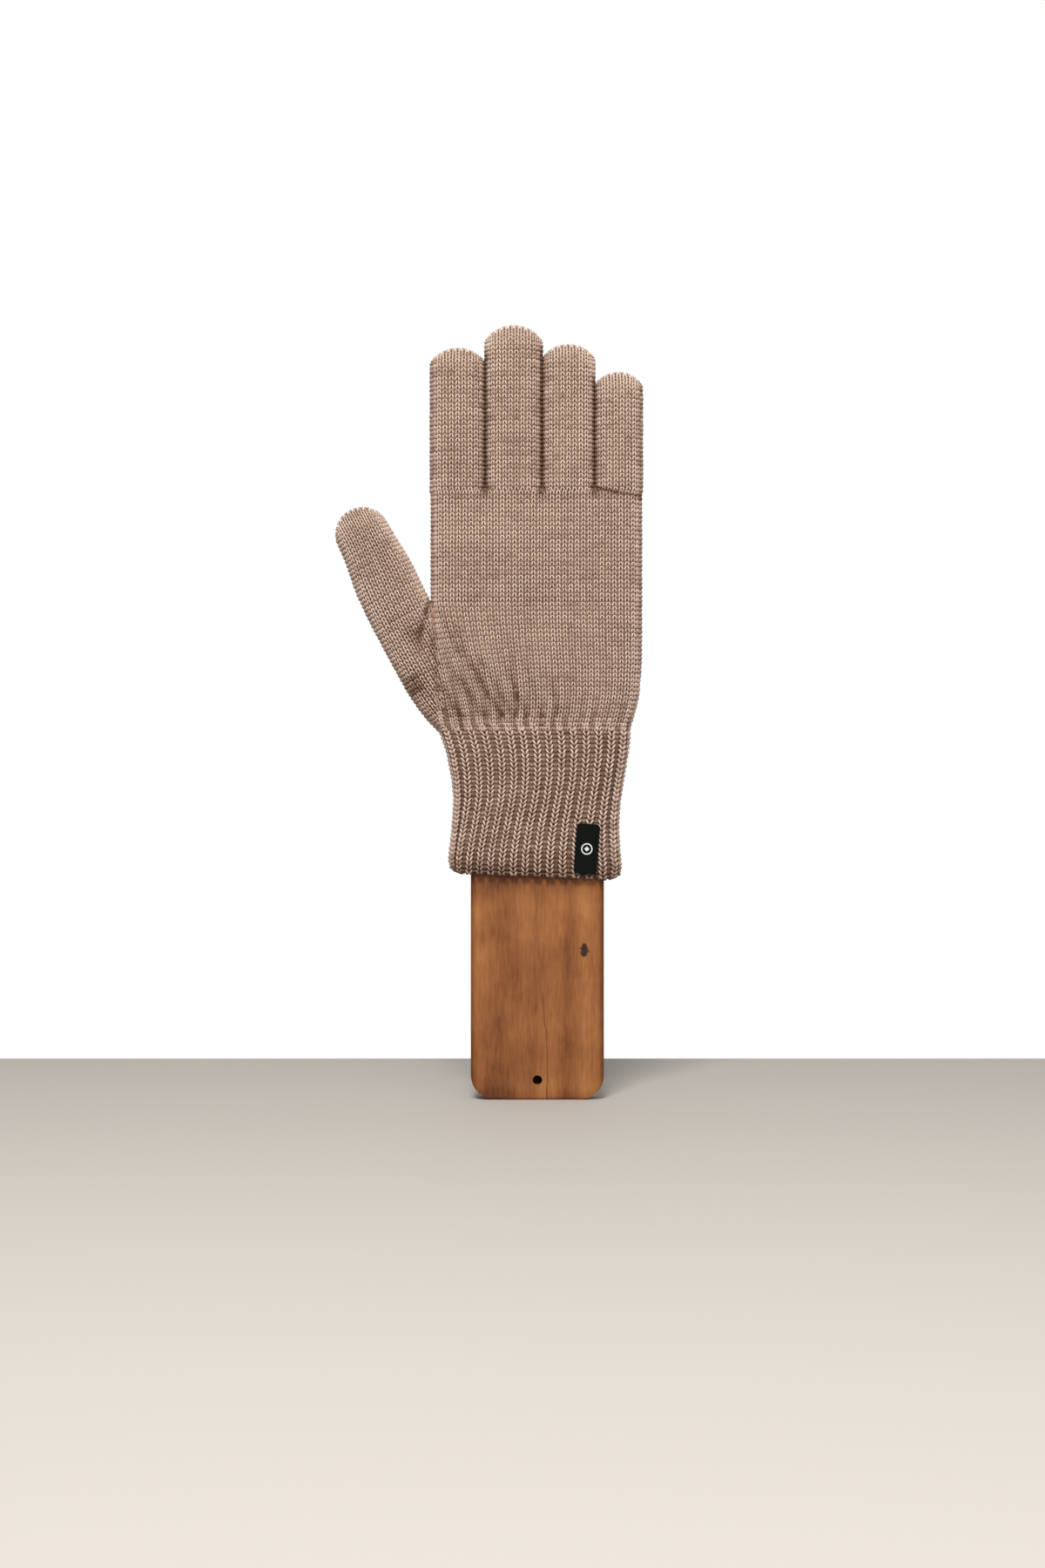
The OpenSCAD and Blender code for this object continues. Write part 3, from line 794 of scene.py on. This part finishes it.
def cuff_parts():
    """The stitches and linings of the cuff and of its hem, whose grids run on into each other."""
    path, hem_rows = hem_path()
    heights = np.array([z for _, z in path])
    rise = 1 - 0.7 * smooth(heights, cuff_top_z - 9, cuff_top_z + 5)
    above, below = [], []
    for model, out in ((RIB, KNIT_OUT), (PURL, PURL_OUT)):
        shade = heather(2 * RIBS, len(path) - 1)
        for rib in range(2 * RIBS):
            at_side = rib % RIBS in (0, RIBS - 2, RIBS - 1)
            if model is RIB:
                edges, groove = (SIDE_KNIT_EDGES if at_side else KNIT_EDGES), 0.0
            else:
                edges, groove = PURL_EDGES, (SIDE_GROOVE_DARK if at_side else GROOVE_DARK)
            grid = cuff_column(rib, path, edges, out, rise)
            normals = grid_normals(grid, False)
            marl_minus_painted_shade = shade[rib : rib + 1] - groove * rise[None, :-1]
            for part, low, high in ((below, 0, hem_rows), (above, hem_rows, len(path) - 1)):
                cells = slice(low, high + 1)
                part.append(lay(grid[:, cells], normals[:, cells], model, None, marl_minus_painted_shade[:, low:high]))
    samples = 160
    around = np.arange(samples) * 2 * RIBS / samples
    for part, rows in ((below, slice(0, hem_rows + 1)), (above, slice(hem_rows, None))):
        skin = np.stack([cuff_ring(z, around, out) for out, z in path[rows]], 1)
        part.append(sleeve(skin, grid_normals(skin, True), (0.6, 1.2), CUFF_LINING_PAINTED_SHADE))
    return above, below


# ---------------------------------------------------------------- materials


def linear(code):
    """sRGB hex to a linear colour."""
    values = [int(code[k : k + 2], 16) / 255 for k in (1, 3, 5)]
    return [v / 12.92 if v <= 0.04045 else ((v + 0.055) / 1.055) ** 2.4 for v in values] + [1.0]


def add(tree, kind, settings=None, **links):
    """Adds a node, sets its properties and inputs, and links its inputs, by name or as i and their number,
    to other nodes' outputs."""
    node = tree.nodes.new(kind)
    for key, value in (settings or {}).items():
        if isinstance(key, int) or key in node.inputs.keys():
            node.inputs[key].default_value = value
        else:
            setattr(node, key, value)
    for key, source in links.items():
        tree.links.new(source, node.inputs[int(key[1:]) if key[1:].isdigit() else key])
    return node


def noise(tree, place, scale, detail=2.0, distortion=0.0):
    settings = {"Scale": scale, "Detail": detail, "Distortion": distortion}
    return add(tree, "ShaderNodeTexNoise", settings, Vector=place).outputs["Fac"]


def object_place(tree):
    return add(tree, "ShaderNodeTexCoord").outputs["Object"]


def map_range(tree, value, low, high, start, end):
    """start where value is at or below low, end where it is at or above high, and straight between them."""
    settings = {"From Min": low, "From Max": high, "To Min": start, "To Max": end}
    return add(tree, "ShaderNodeMapRange", settings, Value=value).outputs[0]


def new_material(name):
    material = bpy.data.materials.new(name)
    material.use_nodes = True
    tree = material.node_tree
    return material, tree, tree.nodes["Principled BSDF"]


def ramp(tree, factor, stops):
    node = add(tree, "ShaderNodeValToRGB", Fac=factor)
    for _ in range(len(stops) - 2):
        node.color_ramp.elements.new(0.5)
    for element, (place, code) in zip(node.color_ramp.elements, stops):
        element.position, element.color = place, linear(code)
    return node.outputs["Color"]


def wool():
    """Marled wool yarn, spun and knitted: matt, with a faint halo of fibres that catches the light."""
    material, tree, shader = new_material("marled_wool_yarn")
    # Marl of the yarn at each point, with painted shade already taken off it
    shade = add(tree, "ShaderNodeAttribute", {"attribute_name": "yarn_marl_with_painted_shade"}).outputs["Fac"]
    place = object_place(tree)
    fleck = noise(tree, place, 900.0)
    cloud = noise(tree, place, 55.0)
    mixed = add(tree, "ShaderNodeMath", {"operation": "MULTIPLY_ADD", 1: 0.30}, i0=fleck, i2=shade).outputs[0]
    mixed = add(tree, "ShaderNodeMath", {"operation": "MULTIPLY_ADD", 1: 0.16}, i0=cloud, i2=mixed).outputs[0]
    mixed = add(tree, "ShaderNodeMath", {"operation": "SUBTRACT", 1: 0.23}, i0=mixed).outputs[0]
    colour = ramp(tree, mixed, [(0.0, "#58402f"), (0.25, "#957a6a"), (0.5, "#b49c8c"), (0.8, "#c4af9f")])
    tree.links.new(colour, shader.inputs["Base Color"])
    shader.inputs["Roughness"].default_value = 0.92
    shader.inputs["Specular IOR Level"].default_value = 0.25
    shader.inputs["Sheen Weight"].default_value = 0.04
    shader.inputs["Sheen Roughness"].default_value = 0.5
    return material


# Marks on the board, and where painted shade and a painted shadow lie on it
BAND_X, BAND_HALF = 13.5 * MM, 6.0 * MM
HEART_X, HEART_SLOPE, HEART_HALF = 5.4 * MM, -0.058, 0.55 * MM
# Painted shade along the handle's long edges: where it starts and how wide it is; the foot darkens below
# FOOT_TOP
EDGE_SHADE_X, EDGE_SHADE_WIDTH, FOOT_TOP = 28.5 * MM, 4.0 * MM, 7.0 * MM
# Painted shadow under the cuff's hem: its height and half height
HEM_SHADOW_Z, HEM_SHADOW_HALF = 104 * MM, 12 * MM
KNOT_X, KNOT_Z, KNOT_WIDE, KNOT_TALL = 22.4 * MM, 71.3 * MM, 2.0 * MM, 3.3 * MM
MIX_A, MIX_B, MIX_RESULT = 6, 7, 2  # a mix node's colour sockets, whose names are not unique


def beech():
    """Old hand-sanded board: warm brown, long fine grain, a heart line, a small knot, painted shade along its
    edges and a painted shadow under the hem.
    """
    material, tree, shader = new_material("aged_sanded_beech")

    def math_node(operation, *terms):
        """terms are numbers or other nodes' outputs."""
        values = {k: float(v) for k, v in enumerate(terms) if isinstance(v, (int, float))}
        inputs = {f"i{k}": v for k, v in enumerate(terms) if k not in values}
        return add(tree, "ShaderNodeMath", {"operation": operation, **values}, **inputs).outputs[0]

    def near_line(value, half_width):
        """1 on a line where value is zero, falling to 0 at half_width."""
        share = math_node("DIVIDE", math_node("ABSOLUTE", value), half_width)
        return math_node("MAXIMUM", math_node("SUBTRACT", 1.0, share), 0.0)

    place = object_place(tree)
    axes = add(tree, "ShaderNodeSeparateXYZ", Vector=place)
    x, z = axes.outputs["X"], axes.outputs["Z"]
    long = add(tree, "ShaderNodeMapping", {"Scale": (1.0, 1.0, 0.045)}, Vector=place).outputs[0]
    short = add(tree, "ShaderNodeMapping", {"Scale": (1.0, 1.0, 0.12)}, Vector=place).outputs[0]
    broad = math_node("MULTIPLY", noise(tree, long, 70.0, 3.0, 0.6), 0.55)
    fine = noise(tree, short, 1100.0, 3.0)
    wood_wear_and_knit_edge_shade = noise(tree, place, 24.0, 4.0)
    blotch = noise(tree, place, 60.0, 3.0)
    tone = math_node("MULTIPLY_ADD", fine, 0.30, broad)
    tone = math_node("MULTIPLY_ADD", wood_wear_and_knit_edge_shade, 0.42, math_node("SUBTRACT", tone, 0.13))
    tone = math_node("MULTIPLY_ADD", blotch, 0.36, tone)
    # Darker band right of the heart line
    band = near_line(math_node("SUBTRACT", x, BAND_X), BAND_HALF)
    tone = math_node("MULTIPLY_ADD", band, -0.10, tone)
    # Painted shade along the long edges of the handle and its foot; the foot also gets darker towards the
    # floor
    edge = math_node("MAXIMUM", math_node("SUBTRACT", math_node("ABSOLUTE", x), EDGE_SHADE_X), 0.0)
    lower_board = map_range(tree, z, 0.11, 0.135, 1.0, 0.0)
    edge = math_node("MULTIPLY", math_node("MINIMUM", edge, EDGE_SHADE_WIDTH), lower_board)
    tone = math_node("MULTIPLY_ADD", edge, -70.0, tone)
    low = math_node("MAXIMUM", math_node("SUBTRACT", FOOT_TOP, z), 0.0)
    tone = math_node("MULTIPLY_ADD", low, -18.0, tone)
    # Painted shadow under the cuff's hem
    hem_shadow = near_line(math_node("SUBTRACT", z, HEM_SHADOW_Z), HEM_SHADOW_HALF)
    tone = math_node("MULTIPLY_ADD", hem_shadow, -0.17, tone)
    colour = ramp(tree, tone, [(0.44, "#522a12"), (0.60, "#724320"), (0.76, "#87542d"), (0.95, "#9c6b3e")])
    # Heart line: a fine dark crack that wanders up the board and fades
    wander = math_node("MULTIPLY", math_node("SUBTRACT", noise(tree, place, 45.0, 3.0), 0.5), 5.0 * MM)
    heart_x = math_node("MULTIPLY_ADD", z, HEART_SLOPE, HEART_X)
    heart = math_node("SUBTRACT", math_node("ADD", x, wander), heart_x)
    crack = math_node("MULTIPLY", near_line(heart, HEART_HALF), math_node("MULTIPLY", blotch, 1.5))
    crack = math_node("MULTIPLY", crack, map_range(tree, z, 0.03, 0.078, 0.75, 0.0))
    # Knot with a ragged edge
    across = math_node("DIVIDE", math_node("SUBTRACT", x, KNOT_X), KNOT_WIDE)
    up = math_node("DIVIDE", math_node("SUBTRACT", z, KNOT_Z), KNOT_TALL)
    away = math_node("SQRT", math_node("ADD", math_node("POWER", across, 2.0), math_node("POWER", up, 2.0)))
    ragged = math_node("MULTIPLY", math_node("SUBTRACT", noise(tree, place, 700.0), 0.5), 1.6)
    away = math_node("ADD", away, ragged)
    knot = math_node("MAXIMUM", math_node("SUBTRACT", 1.15, away), 0.0)
    dark = math_node("MINIMUM", math_node("ADD", crack, math_node("MULTIPLY", knot, 2.6)), 0.93)
    stained = add(tree, "ShaderNodeMix", {"data_type": "RGBA"})
    tree.links.new(dark, stained.inputs["Factor"])
    tree.links.new(colour, stained.inputs[MIX_A])
    stained.inputs[MIX_B].default_value = linear("#1d0f07")
    tree.links.new(stained.outputs[MIX_RESULT], shader.inputs["Base Color"])
    tree.links.new(map_range(tree, fine, 0.0, 1.0, 0.45, 0.7), shader.inputs["Roughness"])
    relief = math_node("SUBTRACT", math_node("MULTIPLY", fine, 0.6), dark)
    bump = add(tree, "ShaderNodeBump", {"Strength": 0.4, "Distance": 0.0004}, Height=relief)
    tree.links.new(bump.outputs[0], shader.inputs["Normal"])
    shader.inputs["Specular IOR Level"].default_value = 0.2
    return material


def rubber():
    """Moulded label: matt black-green rubber."""
    material, tree, shader = new_material("matt_dark_rubber")
    grain = noise(tree, object_place(tree), 2500.0)
    tree.links.new(ramp(tree, grain, [(0.3, "#050706"), (0.7, "#090c0a")]), shader.inputs["Base Color"])
    shader.inputs["Roughness"].default_value = 0.5
    shader.inputs["Specular IOR Level"].default_value = 0.05
    return material


def print_ink():
    """White ink printed on the label, very slightly uneven."""
    material, tree, shader = new_material("white_print_ink")
    grain = noise(tree, object_place(tree), 1800.0)
    tree.links.new(ramp(tree, grain, [(0.3, "#a9aca6"), (0.6, "#c9cbc6")]), shader.inputs["Base Color"])
    shader.inputs["Roughness"].default_value = 0.6
    return material


# ---------------------------------------------------------------- joins and knots


LOOP_TURNS = (0.2, 1.1, 2.0, 2.7)  # how the loops of one knot cross each other, in radians
LOOP_HALF = 0.55  # half a loop's width, as a share of its knot's size


def gathered(spots):
    """Small crossing loops of yarn at each spot, given as (x, y, z, size in mm, direction it faces)."""
    parts = []
    for x, y, z, size, facing in spots:
        facing = unit(np.array(facing, float))
        side = unit(np.cross(facing, (0.3, 0.2, 1.0)))
        up = np.cross(side, facing)
        for turn in LOOP_TURNS:
            wide = math.cos(turn) * side + math.sin(turn) * up
            tall = np.cross(facing, wide)
            corners = np.array([[-wide - tall, -wide + tall], [wide - tall, wide + tall]])
            grid = corners * size * LOOP_HALF + np.array([x, y, z]) + facing * rng.uniform(-0.2, 0.3)
            normal = np.broadcast_to(facing, grid.shape)
            parts.append(lay(grid, normal, PURL, None, np.full((1, 1), rng.uniform(0.5, 0.7))))
    return parts


def tip_spots():
    """The darned-in yarn end at the shoulder of each tip, as spots for gathered."""
    spots = []
    for name, side in zip(FINGERS, (-1, -1, 1, 1)):
        low, high = box_mm(name + "_finger")
        half = (high[0] - low[0]) / 2
        tip_r = TIP_ROUNDNESS * half
        drop = tip_r - math.sqrt(tip_r**2 - half**2)
        x, z = (low[0] + high[0]) / 2 + side * (half - 0.6), high[2] - drop - 0.4
        spots.append((x, 0, z, 1.5, (side, -0.4, 0.5)))
    corner = thumb_base + (THUMB_BEND - THUMB_TIP_R + 0.5) * THUMB_ACROSS + (THUMB_LEN + 2.5) * THUMB_UP
    return spots + [(*corner, 1.4, (-1, -0.4, 0.1))]


def crotch_spots():
    """The gathered stitches between the fingers, front and back."""
    return [(x, side * 9.2, crotch_z - 0.2, 2.2, (0, side, 0.35)) for x, _ in finger_gaps for side in (-1, 1)]


def joining_row():
    """The course where the little finger's tube is taken up again, pulled tighter, with painted shade on its
    yarn.
    """
    low, high = box_mm("little_finger_join")
    half, mid = (high[0] - low[0]) / 2 - EDGE_IN, (low[0] + high[0]) / 2
    count = 24
    x, y, side = section(half, half_depth - 0.5, count)
    x, y, side = (np.concatenate([v, v[:1]]) for v in (x, y, side))
    drop = JOIN_SLOPE * (x + half)
    grid = np.stack([np.stack([x + mid, y, z - drop], -1) for z in (low[2] - 0.5, high[2] + 0.7)], 1)
    normals = np.stack([np.concatenate([side, np.zeros((count + 1, 1))], -1)] * 2, 1)
    return [lay(grid, normals, PURL, None, np.full((count, 1), 0.1))]


# ---------------------------------------------------------------- build

wool_yarn = wool()
for finger in FINGERS:
    knitted_piece(finger + "_finger_knit", finger_parts(finger), wool_yarn, finger + "_finger")
knitted_piece("thumb_knit", thumb_parts(), wool_yarn, "thumb")
knitted_piece("upper_palm_knit", palm_parts(), wool_yarn, "upper_palm")
palm_rows, root_rows = round((thumb_crotch_z - lower_z) / COURSE), round(ROOT_LEN / COURSE)
knitted_piece("lower_palm_knit", sheet_parts(hand_sheet, palm_rows, hand_side), wool_yarn, "lower_palm")
knitted_piece("thumb_root_knit", sheet_parts(root_sheet, root_rows, root_side), wool_yarn, "lower_palm")
above, below = cuff_parts()
knitted_piece("rib_cuff_knit", above, wool_yarn, "rib_cuff")
knitted_piece("cuff_hem_knit", below, wool_yarn, "cuff_hem")

knitted_piece("tip_knots_yarn", gathered(tip_spots()), wool_yarn, "tip_knots")
knitted_piece("finger_crotch_yarn", gathered(crotch_spots()), wool_yarn, "finger_crotch_joins")
notch_spots = [(NOTCH[0] - 0.3, side * 3.0, NOTCH[1] - 1.2, 2.2, (-0.2, side, 0.5)) for side in (-1, 1)]
knitted_piece("thumb_crotch_yarn", gathered(notch_spots), wool_yarn, "thumb_crotch_join")
knitted_piece("little_finger_row", joining_row(), wool_yarn, "little_finger_join")

for node, material in (("wooden_form", beech()), ("label_patch", rubber()), ("label_mark", print_ink())):
    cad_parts[node].data.materials.clear()
    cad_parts[node].data.materials.append(material)

# ---------------------------------------------------------------- floor, light and camera

deselect()
FLOOR_BACK, FLOOR_FRONT = 0.171, -1.1
bpy.ops.mesh.primitive_plane_add(size=1, location=(0, (FLOOR_BACK + FLOOR_FRONT) / 2, 0))
bpy.context.object.scale = (4, FLOOR_BACK - FLOOR_FRONT, 1)
bpy.ops.object.transform_apply(location=True, scale=True)
floor = bpy.context.object
floor.name = "floor"
pale, _, pale_shader = new_material("pale_floor")
pale_shader.inputs["Base Color"].default_value = linear("#a9a39b")
pale_shader.inputs["Roughness"].default_value = 0.8
floor.data.materials.append(pale)

world = bpy.data.worlds.new("studio")
bpy.context.scene.world = world
world.use_nodes = True
# White paper behind the glove; the rest of the room is dimmer
sky = world.node_tree
direction = add(sky, "ShaderNodeTexCoord").outputs["Generated"]
toward = add(sky, "ShaderNodeSeparateXYZ", Vector=direction).outputs["Y"]
paper = map_range(sky, toward, 0.905, 0.93, 0.46, 1.0)
sky.links.new(paper, sky.nodes["Background"].inputs["Strength"])
sky.nodes["Background"].inputs["Color"].default_value = (1, 1, 1, 1)


def soft_lamp(name, place, aim, size, watts):
    lamp = bpy.data.lights.new(name, "AREA")
    lamp.shape, lamp.size, lamp.energy = "SQUARE", size, watts
    holder = bpy.data.objects.new(name, lamp)
    bpy.context.scene.collection.objects.link(holder)
    holder.location = place
    holder.rotation_mode = "QUATERNION"
    holder.rotation_quaternion = (aim - holder.location).to_track_quat("-Z", "Y")


target = Vector((0, 0, 0.2))
soft_lamp("key", (-0.16, -1.1, 1.22), target, 0.45, 28.5)
soft_lamp("fill", (0.5, -1.4, 0.6), target, 0.8, 7)
bpy.context.scene.view_settings.view_transform = "Standard"

# Level camera in front of the glove, at the height of the hem
FRAME_SPAN = 0.7524  # height that the camera takes in at the board, in metres
EYE = Vector((-0.0071, -1.2, 0.1505))
SENSOR = 36.0
lens = bpy.data.cameras.new("camera")
lens.sensor_width = SENSOR
lens.lens = SENSOR * -EYE.y / FRAME_SPAN
camera = bpy.data.objects.new("camera", lens)
bpy.context.scene.collection.objects.link(camera)
camera.location = EYE
camera.rotation_euler = (math.pi / 2, 0, 0)
bpy.context.scene.camera = camera
